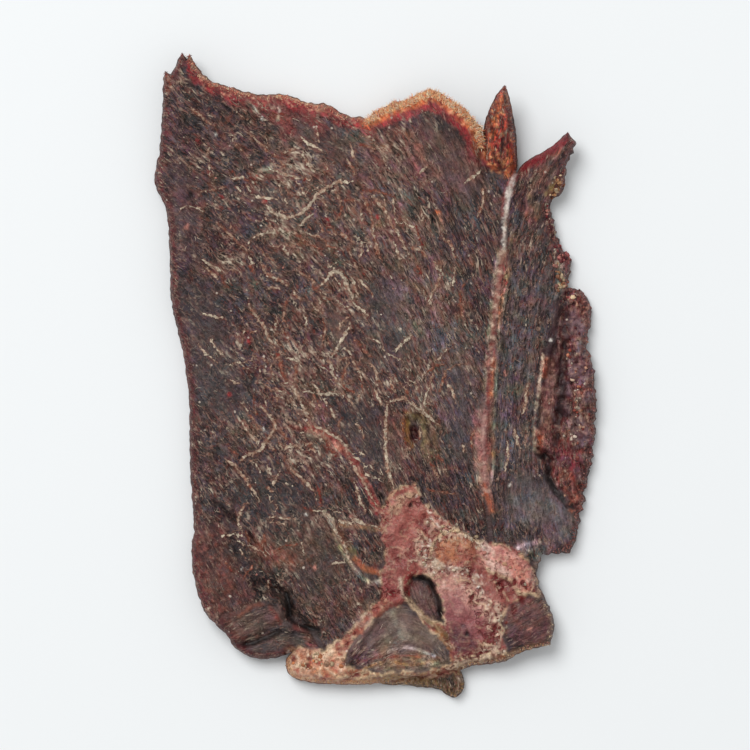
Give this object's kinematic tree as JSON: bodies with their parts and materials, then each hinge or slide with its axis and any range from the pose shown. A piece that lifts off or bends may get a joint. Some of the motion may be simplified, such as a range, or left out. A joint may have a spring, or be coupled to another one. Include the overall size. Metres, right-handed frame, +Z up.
{
  "type": "venison jerky",
  "caption": "Flat slice of dried lean meat with torn, curled edges, pale seams and a web of fat at its lower edge.",
  "frame": {"origin": "under the middle of the slice's box, on the surface that the slice rests on", "axes": "+Z up, +Y towards the end with the spikes, +X to the right as seen from above"},
  "size_m": [0.0806, 0.1176, 0.0092],
  "materials": {
    "dried_meat": "dry matt grey-brown lean with cream and red marbling, and slightly waxy pink fat"
  },
  "bodies": {
    "root": {"jerky_slice": "dried_meat"}
  },
  "joints": []
}
